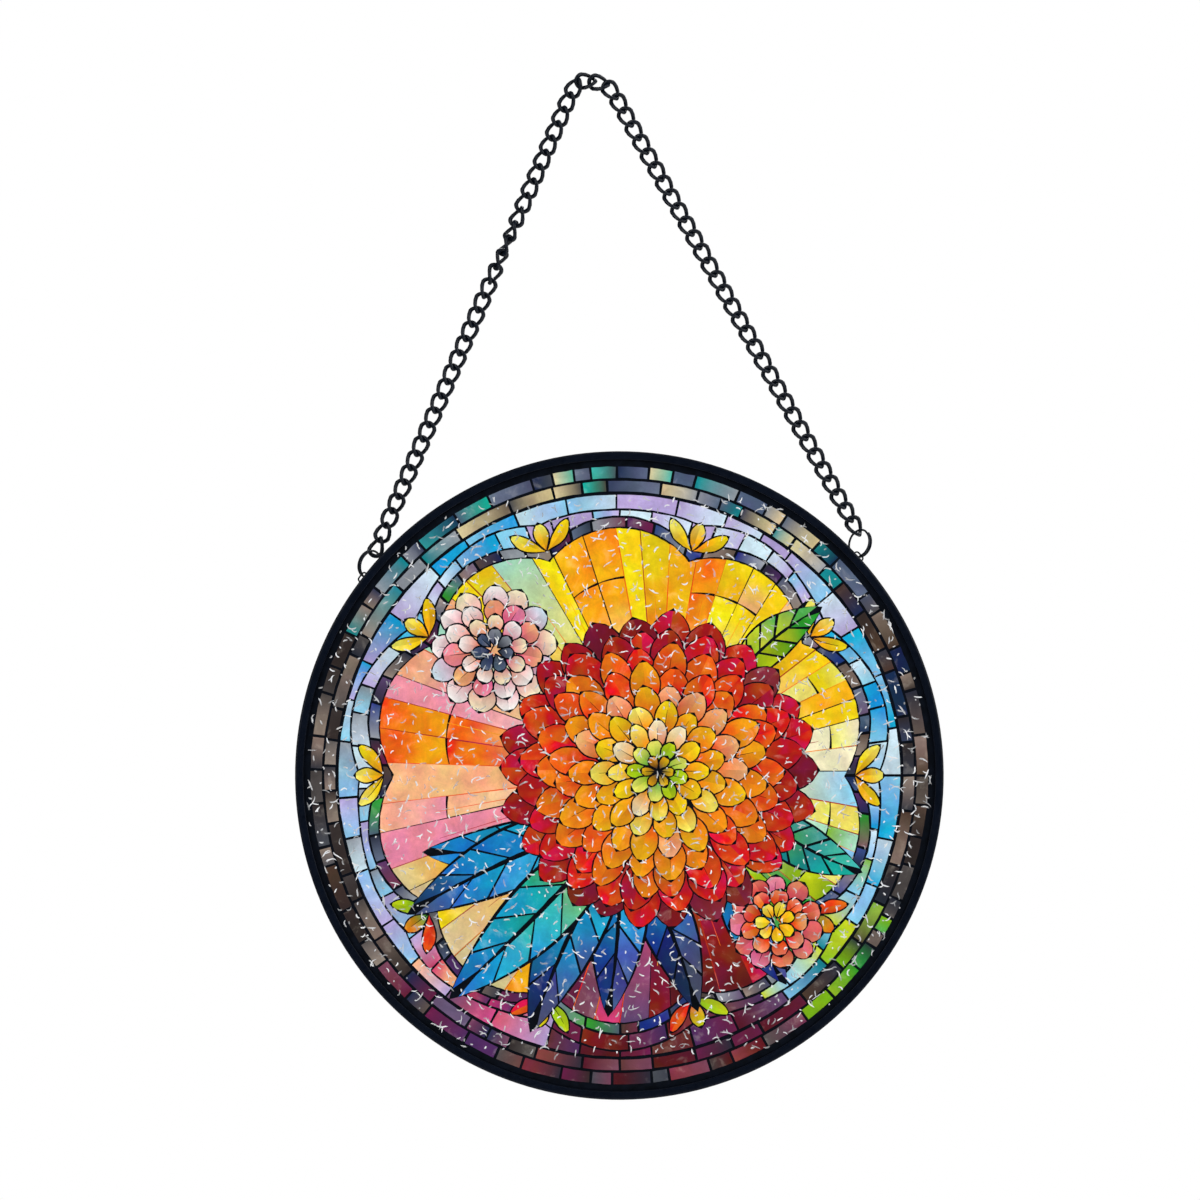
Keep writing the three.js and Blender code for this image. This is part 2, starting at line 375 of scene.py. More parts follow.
def print_black():
    """Black of the drawn lines and of the border, with little gloss and a faint unevenness"""
    finish, shader = material("Glass paint black", Roughness=0.42, Coat_Weight=0.05,
                              Coat_Roughness=0.1, Specular_IOR_Level=0.08)
    base = clouded(finish, 500, 4, 0.75, paint("02050b"), paint("080e19"))
    link(finish, base, shader.inputs["Base Color"])
    add_bump(finish, shader, noise(finish, 420, detail=2), 0.10, 0.0002)
    return finish


def painted_glint_white(name, share):
    """Painted glint: white paint on a ripple that stands for the light it catches, stronger or fainter by its
    share
    """
    finish, shader = material(name, Roughness=0.25, Coat_Weight=0.6, Coat_Roughness=0.08, Alpha=share)
    # painted highlight: near-white base colour in place of the light the ripple would reflect
    base = clouded(finish, 900, 3, 0.65, paint("e9edf2"), paint("ffffff"))
    link(finish, base, shader.inputs["Base Color"])
    return finish


# The drawing on the glass

MAROON, WINE, CRIMSON, RED = paint("560c15"), paint("7b1020"), paint("b0141c"), paint("d6201b")
SCARLET, VERMILION, ORANGE = paint("e63c1c"), paint("ec5b1e"), paint("ee7c19")
AMBER, GOLD, YELLOW, LEMON = paint("f2a01e"), paint("eebb22"), paint("f2d83a"), paint("f1e97c")
CREAM, WHITE, PEACH, SALMON = paint("f3ecc8"), paint("f5f4f0"), paint("f1b78c"), paint("ea8e78")
PINK, ROSE, PLUM, PURPLE = paint("e894a9"), paint("d3587a"), paint("682544"), paint("4b2c5c")
LILAC, SKY, ICE, AZURE = paint("b5a5d2"), paint("8ec4e6"), paint("cfe4f0"), paint("239fd2")
BLUE, INDIGO, NAVY, INK = paint("2a74c2"), paint("22357f"), paint("16264c"), paint("1b2231")
TEAL, SEA, MINT, GREEN = paint("12858e"), paint("36b09f"), paint("a6d6bd"), paint("3f9c3d")
LEAF, LIME, SAND, TAUPE = paint("83b42e"), paint("c2cf32"), paint("d6c598"), paint("88786d")
UMBER, SLATE, GREY, BARK = paint("49352a"), paint("53617a"), paint("8b9098"), paint("2b2220")


def polar(radius, degrees, centre=(0, 0)):
    turn = math.radians(degrees)
    return Vector((centre[0] + radius * math.cos(turn), centre[1] + radius * math.sin(turn)))


def mixed(first, second, share):
    return tuple(a + (b - a) * share for a, b in zip(first, second))


def placed(base, degrees, along, across):
    """A point so far along and across a direction from a base"""
    return Vector(base) + Matrix.Rotation(math.radians(degrees), 2) @ Vector((along, across))


def shares_to_one(steps):
    return [i / steps for i in range(steps + 1)]


def both_edges(point, shares):
    """Outline of a shape whose two edges, at -1 and 1, meet at its ends"""
    return [point(s, -1) for s in shares] + [point(s, 1) for s in reversed(shares[1:-1])]


DARK = (0, 0, 0)
PALE = (1, 1, 1)
PETAL_TAPER = 1.25
PETAL_ROUNDNESS = 0.72
RIB_CHANCE = 0.3
LEAF_PANES = 6
LEAF_SLANT = 0.13
LEAF_END = 0.965
VEIN_REACH = 0.90


class Drawing:
    """Flat shapes in millimetres, in painting order: a later one covers what it overlaps.
    A shape is an outline and its paint, which is None for black"""

    def __init__(self, seed, line, wobble):
        self.shapes = []
        self.dice = random.Random(seed)
        self.line = line
        self.wobble = wobble

    def black(self, outline):
        self.shapes.append((outline, None))

    def pane(self, outline, near, far, start, end):
        """A pane whose colour runs from near at the start to far at the end"""
        self.shapes.append((outline, (near, far, Vector(start), Vector(end))))

    def shaky(self, point):
        reach = self.wobble
        return Vector((point[0] + self.dice.uniform(-reach, reach),
                       point[1] + self.dice.uniform(-reach, reach)))

    def varied(self, colour, amount=0.12):
        """A colour a little lighter or darker than asked"""
        share = self.dice.uniform(-amount, amount)
        toward = PALE if share > 0 else DARK
        return mixed(colour, toward, abs(share) * (0.35 if share > 0 else 1.2))

    def sector(self, centre, inner, outer, start, end, near, far, gap=None, steps=3, axis="out"):
        """A pane between two angles and two radii, which may be functions of the angle"""
        gap = self.line / 2 if gap is None else gap
        inner_at = inner if callable(inner) else (lambda a: inner)
        outer_at = outer if callable(outer) else (lambda a: outer)
        angles = [start + (end - start) * i / steps for i in range(steps + 1)]
        out, back = [], []
        for a in angles:
            for radius, shift, side in ((outer_at(a), -gap, out), (inner_at(a), gap, back)):
                r = radius + shift
                pull = math.degrees(gap / max(r, 1))
                share = (a - start) / (end - start)
                inset = a + pull * (1 - 2 * share)
                side.append(self.shaky(polar(r, inset, centre)))
        middle = (start + end) / 2
        first, last = polar(inner_at(middle), middle, centre), polar(outer_at(middle), middle, centre)
        if axis == "round":
            first, last = polar(outer_at(start), start, centre), polar(outer_at(end), end, centre)
        self.pane(out + back[::-1], near, far, first, last)

    def petal(self, base, degrees, reach, width, near, far, bend):
        """A pointed petal on a black ground, its two halves in like tones"""
        def point(s, q, trim=0.0):
            half = width / 2 * math.sin(math.pi * s ** PETAL_TAPER) ** PETAL_ROUNDNESS if 0 < s < 1 else 0
            half = max(0.0, half - trim)
            across = q * half + bend * width * math.sin(math.pi * s)
            return placed(base, degrees, reach * s, across)
        shares = shares_to_one(9)
        self.black(both_edges(point, shares))
        trim = self.line * 0.62
        ends = (trim * 0.9 / reach, 1 - trim * 1.9 / reach)
        inner = [ends[0] + (ends[1] - ends[0]) * s for s in shares]
        left = [self.shaky(point(s, -1, trim)) for s in inner]
        right = [self.shaky(point(s, 1, trim)) for s in inner]
        near, far = self.varied(near), self.varied(far)
        self.pane(left + right[::-1], near, far, point(0.1, 0), point(0.95, 0))
        middle = [point(s, 0) for s in inner]
        side = left if self.dice.random() < 0.5 else right
        self.pane(side + middle[::-1], mixed(near, DARK, 0.25), mixed(far, DARK, 0.1),
                  point(0.1, 0), point(0.95, 0))
        if self.dice.random() < RIB_CHANCE:
            self.stroke(middle[:-2], self.line * 0.45, None)

    def stroke(self, path, width, colour):
        """A line along a path, tapered at its end"""
        left, right = [], []
        for i, here in enumerate(path):
            before, after = path[max(i - 1, 0)], path[min(i + 1, len(path) - 1)]
            along = (after - before).normalized()
            across = Vector((-along.y, along.x))
            half = width / 2 * (1 - 0.7 * i / (len(path) - 1))
            left.append(here + across * half)
            right.append(here - across * half)
        outline = left + right[::-1]
        if colour is None:
            self.black(outline)
        else:
            self.pane(outline, colour, colour, path[0], path[-1])

    def leaf(self, base, degrees, reach, width, tones, bend):
        """A long leaf cut into panes by its rib and side veins"""
        def point(s, q):
            s = min(max(s, 0.0), 1.0)
            half = width / 2 * math.sin(math.pi * s ** 0.85) ** 0.8 if 0 < s < 1 else 0
            across = q * half + bend * reach * math.sin(math.pi * s * 0.9) * 0.5
            return placed(base, degrees, reach * s, across)
        self.black(both_edges(point, shares_to_one(22)))
        gap = self.line * 0.55 / reach
        last = len(tones) - 1
        for side in (-1, 1):
            for i in range(LEAF_PANES):
                s0, s1 = i / LEAF_PANES + gap, min((i + 1) / LEAF_PANES - gap, LEAF_END)
                if side > 0:
                    s0, s1 = s0 + 0.02, min(s1 + 0.02, LEAF_END)
                far0, far1 = (min(s + LEAF_SLANT, LEAF_END) for s in (s0, s1))
                edge = shares_to_one(4)
                inner_side = [point(s0 + (s1 - s0) * e, side * 0.07) for e in edge]
                outer_side = [point(far0 + (far1 - far0) * e, side * VEIN_REACH) for e in edge]
                if (outer_side[0] - outer_side[-1]).length < 0.8:
                    continue
                outline = [self.shaky(p) for p in inner_side + outer_side[::-1]]
                place = int((i + 0.5) / LEAF_PANES * len(tones))
                tone, other = self.varied(tones[min(place, last)], 0.16), tones[min(place + 1, last)]
                if side > 0:
                    tone, other = mixed(tone, PALE, 0.03), mixed(other, PALE, 0.06)
                else:
                    tone, other = mixed(tone, DARK, 0.20), mixed(other, DARK, 0.10)
                self.pane(outline, tone, other, point(s0, 0), point(far1, side * VEIN_REACH))

    def bloom(self, centre, rings, start=0.0):
        """Rings of petals, from the outermost in. A ring is its count, tip radius, base radius,
        petal width and the colours of base and tip"""
        for k, (count, tip_radius, base_radius, width, near, far) in enumerate(rings):
            order = list(range(0, count, 2)) + list(range(1, count, 2))
            for i in order:
                turn = start + 360 / count * (i + 0.5 * (k % 2)) + self.dice.uniform(-2.2, 2.2)
                reach = (tip_radius - base_radius) * self.dice.uniform(0.93, 1.06)
                base = polar(base_radius, turn, centre)
                inside = self.dice.choice(near)
                outside = self.dice.choice(far)
                self.petal(base, turn + self.dice.uniform(-4, 4), reach, width * self.dice.uniform(0.92, 1.08),
                           inside, outside, bend=self.dice.uniform(-0.05, 0.05))


def steps_round(dice, least, most):
    """Uneven steps round a full turn, each as its two angles"""
    cuts = []
    here = 0
    while here < 360 - least:
        here += dice.uniform(least, most)
        cuts.append(here)
    if len(cuts) > 1 and 360 - cuts[-1] < least:
        cuts.pop()
    cuts = [0] + [cut for cut in cuts if cut < 360 - least * 0.6] + [360]
    return list(zip(cuts, cuts[1:]))


def tone_at(table, degrees):
    """The colours that a table gives for a direction"""
    for limit, tones in table:
        if degrees % 360 < limit:
            return tones
    return table[-1][1]


BORDER_RADIUS = 71.75
STRIP = (65.4, 68.5, BORDER_RADIUS)
BLOOM_CENTRE = (9.0, 1.0)
LOBES = 10
BAND_HALF = 1.35
RAY_START = 22
RAY_SPLIT = 34
RAY_GAP = 0.10


def band_radius(degrees):
    """Middle of the scalloped band, from the panel's centre"""
    return 53.2 + 5.4 * abs(math.sin(math.radians(degrees) * LOBES / 2)) ** 0.8


STRIP_TONES = (
    (35, [BARK, UMBER, INK, NAVY, TAUPE]), (75, [SLATE, TEAL, NAVY, SAND, GREY]),
    (120, [UMBER, SLATE, INK, SEA, SAND, NAVY]), (150, [NAVY, TEAL, GREY, TAUPE]),
    (215, [BARK, INK, UMBER, TAUPE, BARK]), (245, [PLUM, UMBER, PURPLE, NAVY]),
    (300, [MAROON, INK, PLUM, BARK, WINE]), (330, [LEAF, UMBER, INK, GREEN]),
    (360, [BARK, INK, TAUPE, UMBER]),
)
CORNER_TONES = (
    (30, [SKY, ICE, AZURE, SKY]), (80, [LILAC, ICE, SKY, LILAC]), (110, [ICE, SKY, LILAC]),
    (160, [SKY, AZURE, ICE, LILAC]), (215, [ICE, SKY, LILAC, GREY]), (250, [PURPLE, LILAC, ROSE, PEACH]),
    (300, [MAROON, PLUM, WINE, PURPLE]), (335, [LEAF, TEAL, SKY, LIME]), (360, [SKY, ICE, AZURE]),
)
BAND_TONES = ((360, [PURPLE, SLATE, NAVY, TAUPE, INK, INDIGO, PLUM, UMBER, GREY, GREEN]),)
RAY_TONES = (
    (30, [LEMON, YELLOW, AMBER, CREAM]), (70, [YELLOW, PEACH, AMBER, GOLD]),
    (110, [GOLD, YELLOW, AMBER, LEMON, ORANGE]), (150, [PEACH, MINT, SKY, YELLOW, SAND]),
    (200, [ORANGE, VERMILION, PINK, AMBER, PEACH]), (235, [AMBER, YELLOW, LEMON, SAND]),
    (262, [PLUM, ROSE, PURPLE]), (300, [MAROON, WINE, CRIMSON]), (325, [LEAF, GREEN, LIME]),
    (360, [MINT, GREEN, SKY, LEMON, LEAF]),
)


def draw_round(drawing, inner, outer, least, most, tones, amount, gap=None, steps=5):
    """A ring of panes round the panel's centre, from least to most degrees long"""
    dice = drawing.dice
    for low, high in steps_round(dice, least, most):
        near, far = (drawing.varied(dice.choice(tone_at(tones, low)), amount) for _ in range(2))
        drawing.sector((0, 0), inner, outer, low, high, near, far, gap=gap, steps=steps, axis="round")


def draw_strip(drawing):
    draw_round(drawing, STRIP[0], STRIP[1], 4, 12, STRIP_TONES, 0.2, steps=3)
    draw_round(drawing, STRIP[1], STRIP[2], 3, 9, STRIP_TONES, 0.2, steps=3)


def draw_corners(drawing):
    halfway = lambda a: (band_radius(a) + 1.2 + STRIP[0]) / 2 + 1.1 * math.sin(math.radians(a * 7))
    gap = drawing.line * 0.4
    draw_round(drawing, lambda a: band_radius(a) + 1.3, halfway, 5, 11, CORNER_TONES, 0.15, gap)
    draw_round(drawing, halfway, STRIP[0] - 0.2, 6, 13, CORNER_TONES, 0.15, gap)


def draw_band(drawing):
    draw_round(drawing, lambda a: band_radius(a) - BAND_HALF, lambda a: band_radius(a) + BAND_HALF,
               3.5, 8.5, BAND_TONES, 0.2)


def ray_end(degrees):
    """Distance from the bloom's centre to the band's inside, in a direction"""
    reach = 20.0
    for _ in range(40):
        point = polar(reach, degrees, BLOOM_CENTRE)
        around = math.degrees(math.atan2(point.y, point.x))
        reach += (band_radius(around) - BAND_HALF - point.length) * 0.6
    return reach


def draw_rays(drawing):
    dice = drawing.dice
    split = lambda a: 0.5 * (ray_end(a) + RAY_SPLIT)
    for low, high in steps_round(dice, 4.5, 8.5):
        tones = tone_at(RAY_TONES, low)
        near, far = (drawing.varied(dice.choice(tones), 0.15) for _ in range(2))
        if dice.random() < 0.55 and split(low) < ray_end(low) - 5:
            pale = mixed(near, CREAM, 0.45)
            drawing.sector(BLOOM_CENTRE, RAY_START, split, low, high, pale, near, gap=RAY_GAP, steps=3)
            drawing.sector(BLOOM_CENTRE, split, ray_end, low, high, far, near, gap=RAY_GAP, steps=7)
            turns = [low + (high - low) * i / 5 for i in range(6)]
            drawing.stroke([polar(split(turn), turn, BLOOM_CENTRE) for turn in turns], 0.6, None)
        else:
            drawing.sector(BLOOM_CENTRE, RAY_START, ray_end, low, high, near, far, gap=RAY_GAP, steps=7)
        colour = dice.choice([None, None, VERMILION, CRIMSON, ORANGE])
        edge = [polar(r, high, BLOOM_CENTRE) for r in (24, 34, ray_end(high) * 0.75, ray_end(high))]
        drawing.stroke(edge, dice.uniform(0.35, 0.6), colour)
        if dice.random() < 0.4:
            middle = (low + high) / 2 + dice.uniform(-1, 1)
            edge = [polar(r, middle, BLOOM_CENTRE) for r in (24, 34, ray_end(middle) * 0.8)]
            drawing.stroke(edge, 0.3, dice.choice([VERMILION, AMBER, CRIMSON]))


def draw_accents(drawing):
    """Sprigs where the lobes of the band meet, gold but for the four lowest"""
    for i in range(LOBES):
        turn = i * 360 / LOBES
        root = polar(band_radius(turn) + 1.2, turn)
        if i in (7, 8):
            tones = [(RED, SCARLET), (LEAF, LIME)]
        elif i in (6, 9):
            tones = [(GREEN, LIME), (RED, ORANGE)]
        else:
            tones = [(AMBER, YELLOW), (GOLD, LEMON)]
        for side in (-1, 1):
            near, far = tones[side > 0]
            drawing.petal(root, turn + side * 50, 9.5, 3.6, near, far, bend=0.12 * side)
        drawing.petal(root, turn, 7.2, 4.0, tones[0][0], tones[1][1], bend=0.0)


LEAVES = (
    # base, direction, length, width, colours from base to tip, bend
    ((2, -12), 186, 48, 14, (LEAF, SEA, TEAL, AZURE, BLUE), 0.10),
    ((30, -8), -28, 30, 11, (LEAF, GREEN, TEAL, SEA), -0.10),
    ((26, 22), 38, 27, 10, (LEAF, LIME, GREEN), 0.12),
    ((2, -16), 292, 42, 13, (TEAL, BLUE, INDIGO, NAVY), 0.08),
    ((24, -20), -62, 32, 11, (GREEN, TEAL, BLUE, INDIGO), -0.08),
    ((0, -12), 266, 44, 14, (SEA, AZURE, BLUE, INDIGO), 0.06),
    ((0, -10), 205, 54, 15, (LIME, SEA, AZURE, BLUE, NAVY), -0.08),
    ((0, -14), 246, 50, 15, (LEAF, TEAL, AZURE, INDIGO, NAVY), -0.05),
    ((0, -12), 225, 56, 16, (YELLOW, LEAF, SEA, AZURE, BLUE), 0.03),
)
BLOOM_RINGS = (
    (26, 37.0, 22, 9.4, (MAROON, WINE), (CRIMSON, RED, WINE)),
    (24, 33.5, 19, 8.8, (WINE, CRIMSON), (RED, SCARLET, CRIMSON)),
    (22, 29.6, 16, 8.2, (CRIMSON, RED), (SCARLET, VERMILION, ORANGE)),
    (20, 25.4, 13, 7.4, (RED, SCARLET), (ORANGE, AMBER, VERMILION)),
    (18, 21.0, 10, 6.6, (SCARLET, VERMILION), (AMBER, GOLD, PEACH)),
    (15, 16.6, 7, 5.9, (VERMILION, ORANGE), (YELLOW, GOLD, LEMON)),
    (12, 12.2, 4, 5.0, (ORANGE, AMBER), (LEMON, YELLOW, CREAM)),
    (9, 7.8, 1.6, 4.0, (GREEN, LEAF), (LIME, LEMON)),
    (6, 4.2, 0.3, 2.8, (UMBER, BARK), (AMBER, GOLD)),
)
PALE_RINGS = (
    (13, 15.5, 7, 6.6, (PINK, ROSE), (WHITE, CREAM, ICE)),
    (11, 12.0, 5, 5.6, (ROSE, SALMON), (WHITE, PEACH, PINK)),
    (9, 8.6, 3, 4.6, (SALMON, ROSE), (WHITE, CREAM)),
    (7, 5.4, 0.8, 3.3, (NAVY, INK), (SLATE, GREY)),
)
SMALL_RINGS = (
    (11, 11.5, 5, 5.4, (CRIMSON, ROSE), (PINK, SALMON)),
    (9, 8.4, 3, 4.6, (RED, SCARLET), (PEACH, SALMON)),
    (7, 5.2, 0.8, 3.2, (AMBER, GOLD), (LEMON, YELLOW)),
)


def flower_window(line, wobble):
    """The whole drawing, from the border in to the blooms"""
    drawing = Drawing(7, line, wobble)
    ground = BORDER_RADIUS + 1.85
    drawing.black([polar(ground, 360 * i / 192) for i in range(192)])
    draw_strip(drawing)
    draw_corners(drawing)
    draw_rays(drawing)
    draw_band(drawing)
    draw_accents(drawing)
    for base, degrees, reach, width, tones, bend in LEAVES:
        drawing.leaf(base, degrees, reach, width, tones, bend)
    drawing.bloom((-29, 29), PALE_RINGS, 8)
    drawing.bloom((36, -34), SMALL_RINGS, 20)
    drawing.bloom(BLOOM_CENTRE, BLOOM_RINGS)
    return drawing.shapes


def inside_outline(places, outline):
    """For each place, whether it lies inside an outline"""
    inside = np.zeros(len(places), bool)
    x, y = places[:, 0], places[:, 1]
    for (ax, ay), (bx, by) in zip(outline, outline[1:] + outline[:1]):
        if ay != by:
            crosses = (ay > y) != (by > y)
            inside ^= crosses & (x < (bx - ax) * (y - ay) / (by - ay) + ax)
    return inside


def cut_picture(shapes):
    """Cuts overlapping shapes into triangles that each show the topmost shape there"""
    points, loops = [], []
    for outline, _ in shapes:
        loops.append(list(range(len(points), len(points) + len(outline))))
        points.extend(Vector(p) for p in outline)
    corners, _, faces, _, _, _ = delaunay_2d_cdt(points, [], loops, 0, 1e-4, False)
    flat = np.array([tuple(c) for c in corners])
    middles = flat[np.array(faces)].mean(axis=1)
    top = np.full(len(faces), -1)
    for number, (outline, _) in enumerate(shapes):
        outline = [tuple(p) for p in outline]
        low, high = np.min(outline, axis=0), np.max(outline, axis=0)
        near = np.nonzero(((middles > low) & (middles < high)).all(axis=1))[0]
        top[near[inside_outline(middles[near], outline)]] = number
    return corners, [(face, int(owner)) for face, owner in zip(faces, top) if owner >= 0]


def picture_mesh(name, corners, faces, shapes, to_glass):
    """A mesh of some of the cut faces, with the paint of each pane on its corners"""
    used = sorted({i for face, _ in faces for i in face})
    number = {old: new for new, old in enumerate(used)}
    points = [to_glass(corners[i]) for i in used]
    piece = new_piece(name, points, [[number[i] for i in face] for face, _ in faces])
    mesh = piece.data
    if shapes[faces[0][1]][1] is None:
        return piece
    tones, shifts = [], []
    for face, top in faces:
        near, far, start, end = shapes[top][1]
        run = end - start
        for i in face:
            share = min(max((corners[i] - start).dot(run) / run.length_squared, 0), 1)
            tones.extend((*mixed(near, far, share), 1))
        shifts.append((top * 0.0137) % 1)
    mesh.color_attributes.new("paint", "FLOAT_COLOR", "CORNER").data.foreach_set("color", tones)
    mesh.attributes.new("pane_shift", "FLOAT", "FACE").data.foreach_set("value", shifts)
    return piece


# Ripples of the glass

def ripple_curl(dice, start, heading, reach, bend):
    """A short crooked path. Its bend swings as it goes, so that it curls, hooks or snakes"""
    steps = 5
    swing = dice.uniform(-1, 1)
    points = [start]
    for i in range(steps):
        heading += (bend + swing * (i - 2)) / steps + dice.uniform(-0.22, 0.22)
        points.append(points[-1] + Vector((math.cos(heading), math.sin(heading))) * reach / steps)
    return points


def ripple_paths(dice, reach, step):
    """Centre lines of curls, hooks, forks and specks, scattered unevenly over the sheet, each
    with its share of the greatest width and with a number that says how bright its painted glint is"""
    rows = int(reach / step) + 1
    for row in range(-rows, rows + 1):
        for column in range(-rows, rows + 1):
            place = Vector((
                (column + 0.5 * (row % 2)) * step + dice.uniform(-0.5, 0.5) * step,
                row * step * 0.87 + dice.uniform(-0.5, 0.5) * step))
            heading = dice.uniform(0, 2 * math.pi)
            kind = dice.random()
            bend = dice.uniform(-2.2, 2.2)
            glint_strength = dice.random()
            if kind < 0.10:
                continue
            if kind < 0.34:
                paths = [(ripple_curl(dice, place, heading, step * dice.uniform(0.16, 0.34), bend), 0.9)]
            else:
                size = step * (dice.uniform(0.42, 0.85) if kind < 0.85 else dice.uniform(0.8, 1.25))
                paths = [(ripple_curl(dice, place, heading, size, bend), dice.uniform(0.6, 1.0))]
                if kind > 0.78:
                    fork = paths[0][0][2]
                    turn = heading + dice.choice((-1, 1)) * dice.uniform(0.9, 1.7)
                    paths.append((ripple_curl(dice, fork, turn, size * dice.uniform(0.3, 0.6), -bend), 0.7))
            if all(p.length < reach for path, _ in paths for p in path):
                yield paths, glint_strength


def add_ridge(path, width, height, to_glass, points, faces):
    """A low ridge with tapered ends along a path, closed underneath"""
    first = len(points)
    count = len(path)
    points.append(to_glass(path[0] * 1.0, 0))
    for i in range(1, count - 1):
        along = (path[i + 1] - path[i - 1]).normalized()
        across = Vector((-along.y, along.x)) * width / 2 * (1.0 if i < count - 2 else 0.72)
        points.append(to_glass(path[i] + across, 0))
        points.append(to_glass(path[i], height))
        points.append(to_glass(path[i] - across, 0))
    points.append(to_glass(path[-1], 0))
    last = len(points) - 1
    ring = [first + 1, first + 2, first + 3]
    for a, b in ((0, 1), (1, 2), (2, 0)):
        faces.append((first, ring[a], ring[b]))
    for i in range(count - 3):
        here = first + 1 + 3 * i
        for a, b in ((0, 1), (1, 2), (2, 0)):
            faces.append((here + a, here + 3 + a, here + 3 + b, here + b))
    ring = [last - 3, last - 2, last - 1]
    for a, b in ((0, 1), (1, 2), (2, 0)):
        faces.append((last, ring[b], ring[a]))


# Chain, rings and eyes, by the measures of the CAD source

def smooth_step(value, low, high):
    share = min(max((value - low) / (high - low), 0.0), 1.0)
    return share * share * (3 - 2 * share)


def down_direction(turn, side):
    return Vector((side * math.sin(turn), 0, -math.cos(turn)))


def radial_direction(turn, side):
    return Vector((side * math.sin(turn), 0, math.cos(turn)))


def up_along_rim(side, eyes):
    outward = radial_direction(eyes.place, side)
    return Vector((-side * outward.z, 0, side * outward.x))


TOP_LINK_SLOPES = {-1: (-3, 58), 1: (14, 56)}
RUN_TURNS = {-1: ((-136, 13.2, 9), (-60, 32.5, 3)), 1: ((9, 32.5, 3),)}

# Lean of each ring, and how far round from its top the chain holds it, in degrees
RING_HOLDS = {-1: (22, 4), 1: (-18, 33)}
RING_TO_EYE_TOP = 1.08 * MM
RING_TO_EYE_LEG = 0.36 * MM
RING_PARTS_FROM = 0.28


class Hanging:
    """Where the joints, rings and eyes of one side lie"""

    def __init__(self, scene, side):
        chain, rings, eyes = scene.suncatcher_chain, scene.suncatcher_rings, scene.suncatcher_eyes
        self.side = side
        rim, half = centre_of("rim")
        self.rim_radius = half.x
        outward = radial_direction(eyes.place, side)
        along = eyes.spread / 2 - eyes.wire / 2 - rings.wire / 2 - RING_TO_EYE_LEG
        out = self.rim_radius + eyes.proud - eyes.wire / 2 - RING_TO_EYE_TOP
        at_eye = outward * out + up_along_rim(side, eyes) * along
        weld = (chain.wire - chain.bearing) / 2
        to_ring = weld - (chain.wire + rings.wire) / 2 - chain.gap
        self.span = rings.diameter - rings.wire
        self.hook_turn = math.degrees(chain.hook_turn)
        self.joints = [Vector((-side * (chain.bearing + chain.top_gap) / 2, 0, chain.top_joint))]
        for slope in TOP_LINK_SLOPES[side]:
            self.joints.append(self.joints[-1] + down_direction(math.radians(90 - slope), side) * chain.pitch)
        lean, held = (math.radians(turn) for turn in RING_HOLDS[side])
        self.ring_up = -down_direction(lean, side)
        self.ring_across = (self.ring_up.cross(FORWARD) * side * math.cos(rings.tilt)
                            + FORWARD * math.sin(rings.tilt))
        hold = (self.ring_up * (1 + math.cos(held)) + self.ring_across * math.sin(held)) * self.span / 2
        start = self.joints[-1]
        straight = chain.links - len(TOP_LINK_SLOPES[side])
        run = straight * chain.pitch + to_ring
        reach = Vector((rim.x + at_eye.x + hold.x - start.x, hold.y, 0))
        direction = (reach - UP * math.sqrt(run ** 2 - reach.length_squared)) / run
        self.joints += [start + direction * chain.pitch * i for i in range(1, straight + 1)]
        self.tip = chain.pitch / 2 + weld
        self.panel_centre = Vector(rim)
        self.ring_centre = Vector((rim.x, 0, rim.z)) + at_eye + self.ring_up * self.span / 2

    def link_turn(self, number):
        return self.side * self.hook_turn + sum(
            turn * smooth_step(number, middle - spread / 2, middle + spread / 2)
            for turn, middle, spread in RUN_TURNS[self.side])

    def link_place(self, number):
        above, below = self.joints[number - 1], self.joints[number]
        up = (above - below).normalized()
        across = FORWARD.cross(up).normalized()
        basis = Matrix((across, up.cross(across), up)).transposed().to_4x4()
        turn = Matrix.Rotation(math.radians(self.link_turn(number)), 4, "Z")
        return Matrix.Translation((above + below) / 2) @ basis @ turn


def model_link(chain, tip):
    """One curb link at the origin, along Z: a ring of wire, pulled out to an oval and twisted"""
    bow = (chain.width - chain.wire) / 2
    deselect_all()
    bpy.ops.mesh.primitive_torus_add(
        major_radius=bow, minor_radius=chain.wire / 2, major_segments=28, minor_segments=10,
        rotation=(math.pi / 2, 0, 0))
    link_piece = bpy.context.object
    settle(link_piece)
    start_editing(link_piece)
    for sign in (-1, 1):
        select_where(link_piece, lambda v: v.co.z * sign > 1e-6)
        bpy.ops.transform.translate(value=(0, 0, sign * (tip - bow)))
    finish_editing()
    ends = tip + chain.wire / 2
    apply_modifier(link_piece, "SIMPLE_DEFORM", deform_method="TWIST", deform_axis="Z",
                   angle=chain.twist * ends / tip)
    return link_piece


def wire_along(points, diameter):
    """A round wire along a path, with its ends closed"""
    deselect_all()
    bpy.ops.curve.primitive_nurbs_path_add()
    wire = bpy.context.object
    curve = wire.data
    curve.splines.clear()
    spline = curve.splines.new("POLY")
    spline.points.add(len(points) - 1)
    for made, point in zip(spline.points, points):
        made.co = (*point, 1)
    curve.bevel_depth = diameter / 2
    curve.bevel_resolution = 3
    curve.use_fill_caps = True
    curve.resolution_u = 1
    bpy.ops.object.convert(target="MESH")
    start_editing(wire)
    finish_editing(1e-6)
    return wire


